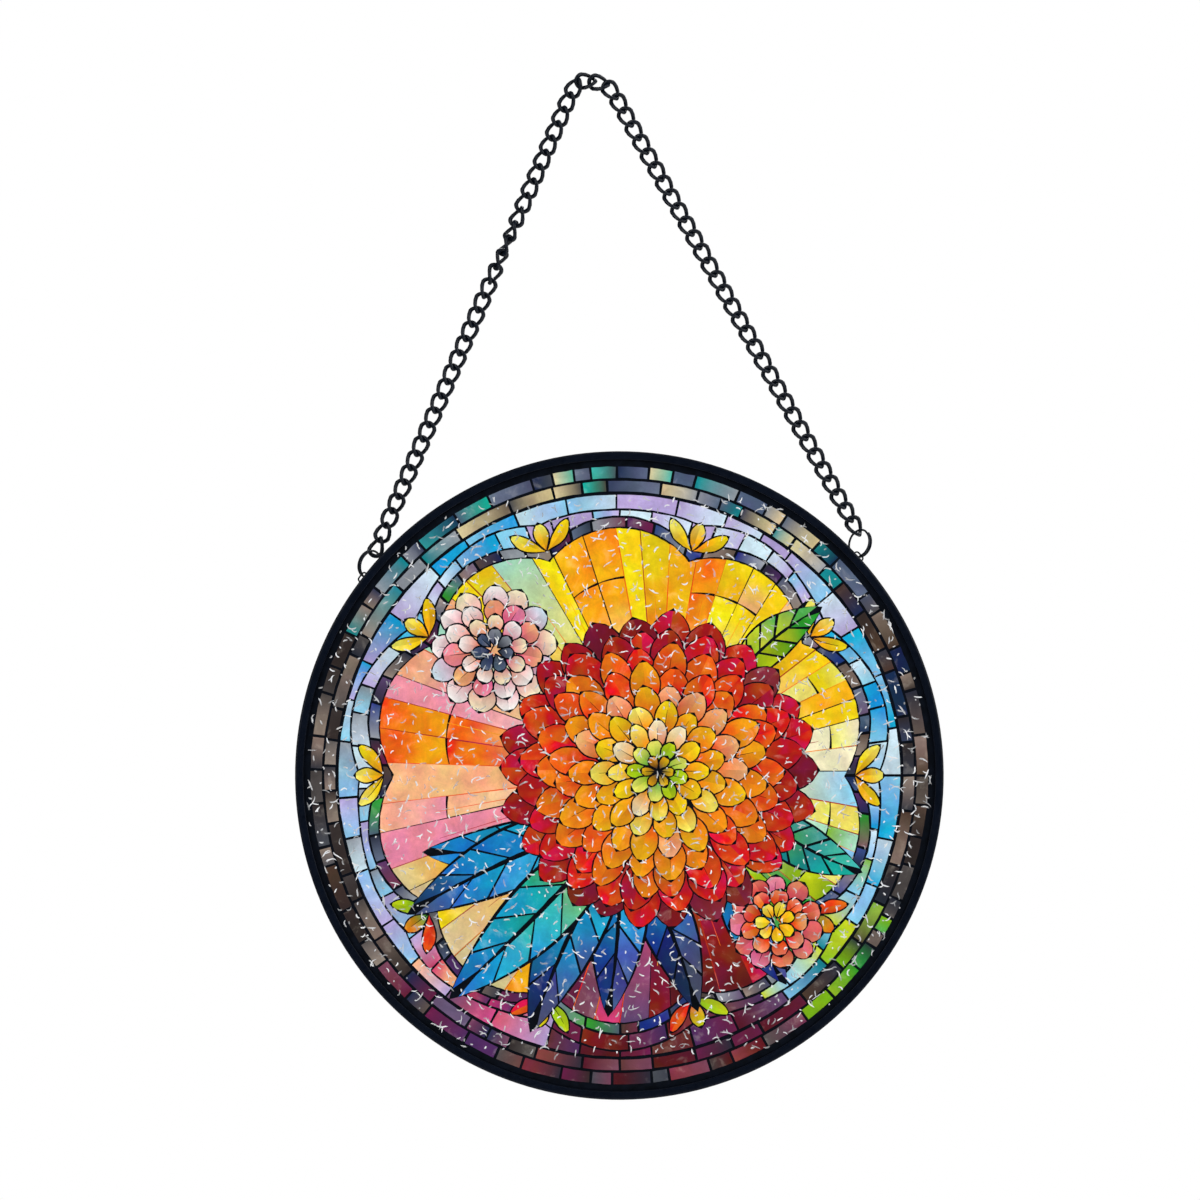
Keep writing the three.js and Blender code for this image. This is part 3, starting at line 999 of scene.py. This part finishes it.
def ring_path(hanging, rings):
    """Centre line of a jump ring: a coil whose doubled part lies away from the panel"""
    towards, down = hanging.ring_across, -hanging.ring_up
    normal = down.cross(towards) * hanging.side
    steps = 64
    for i in range(steps + 1):
        turn = (i / steps - 0.5) * rings.turns
        angle_now = 2 * math.pi * turn
        parting = smooth_step(abs(turn), RING_PARTS_FROM, 1 - rings.turns / 2)
        yield (hanging.ring_centre + towards * math.cos(angle_now) * hanging.span / 2
               + down * math.sin(angle_now) * hanging.span / 2
               + normal * math.copysign(parting * (rings.wire + rings.coil_gap) / 2, turn))


def eye_path(hanging, eyes):
    """Centre line of an eye: a staple whose legs lie on the back of the rim"""
    outward = radial_direction(eyes.place, hanging.side)
    along = up_along_rim(hanging.side, eyes)
    middle = hanging.panel_centre * 1.0
    middle.y = 0
    top = hanging.rim_radius + eyes.proud - eyes.wire / 2
    half, corner = eyes.spread / 2, eyes.corner
    at = lambda a, r: middle + outward * r + along * a
    path = [at(-half, top - eyes.leg)]
    for side in (-1, 1):
        shoulder, peak = at(side * half, top - corner), at(side * half, top)
        flat = at(side * (half - corner), top)
        bend = [shoulder * (1 - t) ** 2 + peak * 2 * t * (1 - t) + flat * t * t for t in shares_to_one(8)]
        path += bend if side < 0 else bend[::-1]
    path.append(at(half, top - eyes.leg))
    return path, outward, along


# One operator for each piece or group of like pieces

class SUNCATCHER_OT_rim(bpy.types.Operator):
    """Build the black channel that holds the glass"""
    bl_idname = "suncatcher.rim"
    bl_label = "Rim"

    def execute(self, context):
        rim = context.scene.suncatcher_rim
        centre, half = centre_of("rim")
        outside = centre.x + half.x
        deselect_all()
        bpy.ops.mesh.primitive_plane_add(size=1, location=(outside - rim.lip / 2, centre.y, centre.z))
        section = context.object
        section.scale = (rim.lip, 2 * half.y, 1)
        settle(section)
        slot_half = half.y - rim.lip_thickness
        start_editing(section)
        for place, across in (((outside - rim.wall, 0, 0), (1, 0, 0)),
                              ((0, centre.y - slot_half, 0), (0, 1, 0)),
                              ((0, centre.y + slot_half, 0), (0, 1, 0))):
            bpy.ops.mesh.select_all(action="SELECT")
            bpy.ops.mesh.bisect(plane_co=place, plane_no=across)
        bpy.ops.mesh.select_mode(type="FACE")

        def in_slot(face):
            middle = face.calc_center_median()
            return middle.x < outside - rim.wall and abs(middle.y - centre.y) < slot_half
        select_where(section, in_slot, "faces")
        bpy.ops.mesh.delete(type="FACE")
        bpy.ops.mesh.select_all(action="SELECT")
        bpy.ops.mesh.dissolve_faces(use_verts=True)
        bpy.ops.mesh.select_mode(type="VERT")
        near = 1e-5
        outer = lambda v: v.co.x > outside - near
        select_where(section, outer)
        bpy.ops.mesh.bevel(offset=rim.corner, segments=6, affect="VERTICES")
        edges = lambda v: v.co.x < outside - rim.lip + near
        select_where(section, edges)
        bpy.ops.mesh.bevel(offset=rim.edge, segments=3, affect="VERTICES")
        bpy.ops.mesh.select_all(action="SELECT")
        bpy.ops.mesh.delete(type="ONLY_FACE")
        bpy.ops.mesh.select_all(action="SELECT")
        bpy.ops.mesh.spin(steps=192, angle=2 * math.pi, center=centre, axis=(0, 1, 0))
        finish_editing(2e-6)
        section.data.materials.append(enamel("Rim enamel", tuple(rim.enamel), 0.08, 900, 0.08))
        hand_over(section, "rim_channel", "black_rim", "rim")
        return {"FINISHED"}


class SUNCATCHER_OT_glass(bpy.types.Operator):
    """Build the clear glass sheet with its ground edge"""
    bl_idname = "suncatcher.glass"
    bl_label = "Glass sheet"

    def execute(self, context):
        glass = context.scene.suncatcher_glass
        centre, half = centre_of("glass_disc")
        deselect_all()
        bpy.ops.mesh.primitive_cylinder_add(
            vertices=192, radius=half.x, depth=2 * half.y, location=centre, rotation=(math.pi / 2, 0, 0))
        sheet = context.object
        settle(sheet)
        start_editing(sheet, "EDGE")
        flat = lambda e: abs((e.verts[0].co - e.verts[1].co).y) < 1e-6
        select_where(sheet, flat, "edges")
        bpy.ops.mesh.bevel(offset=glass.ground, segments=2, affect="EDGES")
        finish_editing()
        sheet.data.materials.append(clear_glass())
        hand_over(sheet, "glass_sheet", "painted_glass", "glass_disc", smooth=30)
        return {"FINISHED"}


PRINT_LIFT = 0.02 * MM


def leaning_axes(context):
    """Right and up in the plane of the panel, turned by the picture's lean"""
    lean = context.scene.suncatcher_picture.lean
    return Vector((math.cos(lean), 0, -math.sin(lean))), Vector((math.sin(lean), 0, math.cos(lean)))


def glass_plane(context):
    """Maps the drawing's millimetres, and a height over it, to the front face of the glass"""
    centre, half = centre_of("glass_disc")
    right, up = leaning_axes(context)
    face = centre - FORWARD * (half.y + PRINT_LIFT)
    return lambda point, height=0.0: face + (right * point[0] + up * point[1]) * MM - FORWARD * height


class SUNCATCHER_OT_picture(bpy.types.Operator):
    """Print the flower window on the glass: coloured panes and black lines"""
    bl_idname = "suncatcher.picture"
    bl_label = "Picture"

    def execute(self, context):
        picture = context.scene.suncatcher_picture
        shapes = flower_window(picture.line / MM, picture.wobble / MM)
        corners, faces = cut_picture(shapes)
        to_glass = glass_plane(context)
        for name, finish, is_black in (("picture_panes", print_paint(), False),
                                       ("picture_lines", print_black(), True)):
            own = [(face, top) for face, top in faces if (shapes[top][1] is None) == is_black]
            if not own:
                raise RuntimeError(f"the drawing has nothing for {name}")
            piece = picture_mesh(name, corners, own, shapes, to_glass)
            piece.data.materials.append(finish)
            hand_over(piece, name, "painted_glass")
        return {"FINISHED"}


class SUNCATCHER_OT_ripples(bpy.types.Operator):
    """Scatter the short ripples over the front of the glass, painted white as glints that stand for the light
    they catch
    """
    bl_idname = "suncatcher.ripples"
    bl_label = "Ripples"

    def execute(self, context):
        glass = context.scene.suncatcher_glass
        to_glass = glass_plane(context)
        dice = random.Random(11)
        points, faces, kinds = [], [], []
        reach = BORDER_RADIUS + 0.9
        for paths, glint_strength in ripple_paths(dice, reach, glass.ripple_step / MM):
            kind = 0 if glint_strength < 0.30 else 1 if glint_strength < 0.65 else 2
            for path, share in paths:
                before = len(faces)
                width = glass.ripple_width / MM * share
                add_ridge(path, width, glass.ripple_height, to_glass, points, faces)
                kinds += [kind] * (len(faces) - before)
        piece = new_piece("glass_ripples", points, faces)
        mesh = piece.data
        # three strengths of painted glint: white paint standing for light caught by the ripples, not a colour
        # of the glass
        for name, share in (("Bright ripple", 0.82), ("Soft ripple", 0.56), ("Faint ripple", 0.32)):
            mesh.materials.append(painted_glint_white(name, share))
        mesh.polygons.foreach_set("material_index", kinds)
        start_editing(piece)
        finish_editing()
        hand_over(piece, "glass_ripples", "painted_glass", smooth=60)
        return {"FINISHED"}


class SUNCATCHER_OT_chain(bpy.types.Operator):
    """Build both runs of the curb chain, link by link"""
    bl_idname = "suncatcher.chain"
    bl_label = "Chain"

    def execute(self, context):
        chain = context.scene.suncatcher_chain
        finish = enamel("Chain enamel", tuple(chain.enamel), 0.25, 1500, 0.16)
        pattern = None
        for name, side in SIDES.items():
            hanging = Hanging(context.scene, side)
            if pattern is None:
                pattern = model_link(chain, hanging.tip)
                pattern.data.materials.append(finish)
            links = []
            for number in range(1, chain.links + 1):
                made = own_copy(pattern)
                made.data.transform(hanging.link_place(number))
                links.append(made)
            hand_over(join(links), f"links_{name}", "black_wire", f"chain_{name}", smooth=60)
        bpy.data.objects.remove(pattern)
        return {"FINISHED"}


class SUNCATCHER_OT_rings(bpy.types.Operator):
    """Wind the two jump rings that join the chain to the eyes"""
    bl_idname = "suncatcher.rings"
    bl_label = "Jump rings"

    def execute(self, context):
        rings = context.scene.suncatcher_rings
        finish = enamel("Ring enamel", tuple(context.scene.suncatcher_chain.enamel), 0.25, 1700, 0.16)
        for name, side in SIDES.items():
            hanging = Hanging(context.scene, side)
            ring = wire_along(list(ring_path(hanging, rings)), rings.wire)
            ring.data.materials.append(finish)
            hand_over(ring, f"coil_ring_{name}", "black_wire", f"jump_ring_{name}", smooth=60)
        return {"FINISHED"}


class SUNCATCHER_OT_eyes(bpy.types.Operator):
    """Bend the two eyes on the back of the rim, and solder them on"""
    bl_idname = "suncatcher.eyes"
    bl_label = "Eyes"

    def execute(self, context):
        eyes = context.scene.suncatcher_eyes
        enamel_colour = tuple(context.scene.suncatcher_rim.enamel)
        finish = enamel("Eye enamel", enamel_colour, 0.2, 1700, 0.16)
        for name, side in SIDES.items():
            hanging = Hanging(context.scene, side)
            path, outward, along = eye_path(hanging, eyes)
            staple = wire_along(path, eyes.wire)
            staple.data.materials.append(finish)
            blobs = []
            for end in (path[0], path[-1]):
                deselect_all()
                bpy.ops.mesh.primitive_uv_sphere_add(segments=18, ring_count=12, radius=0.5 * MM)
                blob = context.object
                blob.scale = (0.95, 0.72, 1.5)
                settle(blob)
                start_editing(blob)
                bpy.ops.transform.vertex_random(offset=0.05 * MM, seed=3 + len(blobs))
                bpy.ops.mesh.vertices_smooth(factor=0.5)
                finish_editing()
                turn = Matrix((along, FORWARD, outward)).transposed().to_4x4()
                place = end + outward * 0.45 * MM - FORWARD * 0.18 * MM
                blob.data.transform(Matrix.Translation(place) @ turn)
                blob.data.materials.append(finish)
                start_editing(blob)
                finish_editing()
                blobs.append(blob)
            hand_over(join([staple] + blobs), f"eye_wire_{name}", "black_wire", f"eye_{name}", smooth=60)
        return {"FINISHED"}


AIM_X = -3.25 * MM
AIM_Z = -118.21 * MM
SOFTBOXES = (
    # name, place, width, height, watts
    ("left_softbox", (-1.05, -1.0, 0.35), 0.7, 1.2, 12.0),
    ("right_softbox", (1.05, -1.0, 0.35), 0.7, 1.2, 11.0),
    ("edge_softbox", (1.25, -0.10, 0.15), 0.5, 1.2, 8.0),
    ("top_softbox", (0.0, -0.75, 1.15), 1.2, 0.6, 6.0),
    ("back_softbox", (0.3, 1.25, 0.8), 1.0, 1.0, 13.0),
)


class SUNCATCHER_OT_stage(bpy.types.Operator):
    """Set the pale floor, the soft lights and the camera"""
    bl_idname = "suncatcher.stage"
    bl_label = "Stage"

    def execute(self, context):
        stage = context.scene.suncatcher_stage
        deselect_all()
        bpy.ops.mesh.primitive_circle_add(
            vertices=96, radius=stage.floor_radius, fill_type="NGON", location=(0, 0, -stage.floor_drop))
        floor = context.object
        settle(floor)
        floor.name = "floor"
        finish, shader = material("Pale floor", (0.86, 0.86, 0.86), Roughness=0.8, Emission_Strength=0.35)
        shader.inputs["Emission Color"].default_value = (1, 1, 1, 1)
        floor.data.materials.append(finish)

        aim = Vector((AIM_X, centre_of("rim")[0].y, AIM_Z))
        for name, place, width, height, watts in SOFTBOXES:
            deselect_all()
            bpy.ops.object.light_add(type="AREA", location=place)
            lamp = context.object
            lamp.name = name
            lamp.data.shape = "RECTANGLE"
            lamp.data.size, lamp.data.size_y = width, height
            lamp.data.energy = watts
            lamp.rotation_euler = (aim - lamp.location).to_track_quat("-Z", "Y").to_euler()

        world = context.scene.world or bpy.data.worlds.new("Studio")
        context.scene.world = world
        world.use_nodes = True
        tree = world.node_tree
        studio = tree.nodes["Background"]
        seen = tree.nodes.new("ShaderNodeBackground")
        seen.inputs["Color"].default_value = (1, 1, 1, 1)
        split = tree.nodes.new("ShaderNodeSeparateXYZ")
        tree.links.new(tree.nodes.new("ShaderNodeTexCoord").outputs["Generated"], split.inputs[0])
        ramp = tree.nodes.new("ShaderNodeMapRange")
        ramp.interpolation_type = "SMOOTHSTEP"
        for socket, value in (("From Min", -1.0), ("From Max", -0.6), ("To Min", 0.04), ("To Max", 0.12)):
            ramp.inputs[socket].default_value = value
        tree.links.new(split.outputs["Y"], ramp.inputs["Value"])
        tree.links.new(ramp.outputs["Result"], studio.inputs["Strength"])
        studio.inputs["Color"].default_value = (1, 1, 1, 1)
        path = tree.nodes.new("ShaderNodeLightPath")
        both = tree.nodes.new("ShaderNodeMixShader")
        tree.links.new(path.outputs["Is Camera Ray"], both.inputs[0])
        tree.links.new(studio.outputs[0], both.inputs[1])
        tree.links.new(seen.outputs[0], both.inputs[2])
        tree.links.new(both.outputs[0], tree.nodes["World Output"].inputs["Surface"])

        deselect_all()
        bpy.ops.object.camera_add()
        camera = context.object
        turn = Matrix((*leaning_axes(context), -FORWARD)).transposed().to_4x4()
        camera.matrix_world = Matrix.Translation(aim - FORWARD * stage.distance) @ turn
        camera.data.sensor_width = 36
        camera.data.lens = camera.data.sensor_width * stage.distance / stage.frame_width
        camera.data.clip_start = 0.05
        context.scene.camera = camera
        context.scene.view_settings.view_transform = "Standard"
        return {"FINISHED"}


class SUNCATCHER_PT_sidebar(bpy.types.Panel):
    """The suncatcher's pieces and their sizes"""
    bl_label = "Suncatcher"
    bl_idname = "SUNCATCHER_PT_sidebar"
    bl_space_type = "VIEW_3D"
    bl_region_type = "UI"
    bl_category = "Suncatcher"

    def draw(self, context):
        for operator, groups in STEPS:
            box = self.layout.box()
            box.operator(operator.bl_idname)
            for group in groups:
                settings = getattr(context.scene, group)
                for name in settings.__annotations__:
                    box.prop(settings, name)


SETTINGS = {
    "suncatcher_rim": RimSettings,
    "suncatcher_glass": GlassSettings,
    "suncatcher_picture": PictureSettings,
    "suncatcher_chain": ChainSettings,
    "suncatcher_rings": RingSettings,
    "suncatcher_eyes": EyeSettings,
    "suncatcher_stage": StageSettings,
}
STEPS = (
    (SUNCATCHER_OT_rim, ("suncatcher_rim",)),
    (SUNCATCHER_OT_glass, ("suncatcher_glass",)),
    (SUNCATCHER_OT_picture, ("suncatcher_picture",)),
    (SUNCATCHER_OT_ripples, ()),
    (SUNCATCHER_OT_chain, ("suncatcher_chain",)),
    (SUNCATCHER_OT_rings, ("suncatcher_rings",)),
    (SUNCATCHER_OT_eyes, ("suncatcher_eyes",)),
    (SUNCATCHER_OT_stage, ("suncatcher_stage",)),
)


def register():
    for group in SETTINGS.values():
        bpy.utils.register_class(group)
    for operator, _ in STEPS:
        bpy.utils.register_class(operator)
    bpy.utils.register_class(SUNCATCHER_PT_sidebar)
    for name, group in SETTINGS.items():
        setattr(bpy.types.Scene, name, PointerProperty(type=group))


def unregister():
    for name in SETTINGS:
        delattr(bpy.types.Scene, name)
    bpy.utils.unregister_class(SUNCATCHER_PT_sidebar)
    for operator, _ in reversed(STEPS):
        bpy.utils.unregister_class(operator)
    for group in reversed(list(SETTINGS.values())):
        bpy.utils.unregister_class(group)


def main():
    register()
    for operator, _ in STEPS:
        family, name = operator.bl_idname.split(".")
        getattr(getattr(bpy.ops, family), name)()


if __name__ == "__main__":
    main()
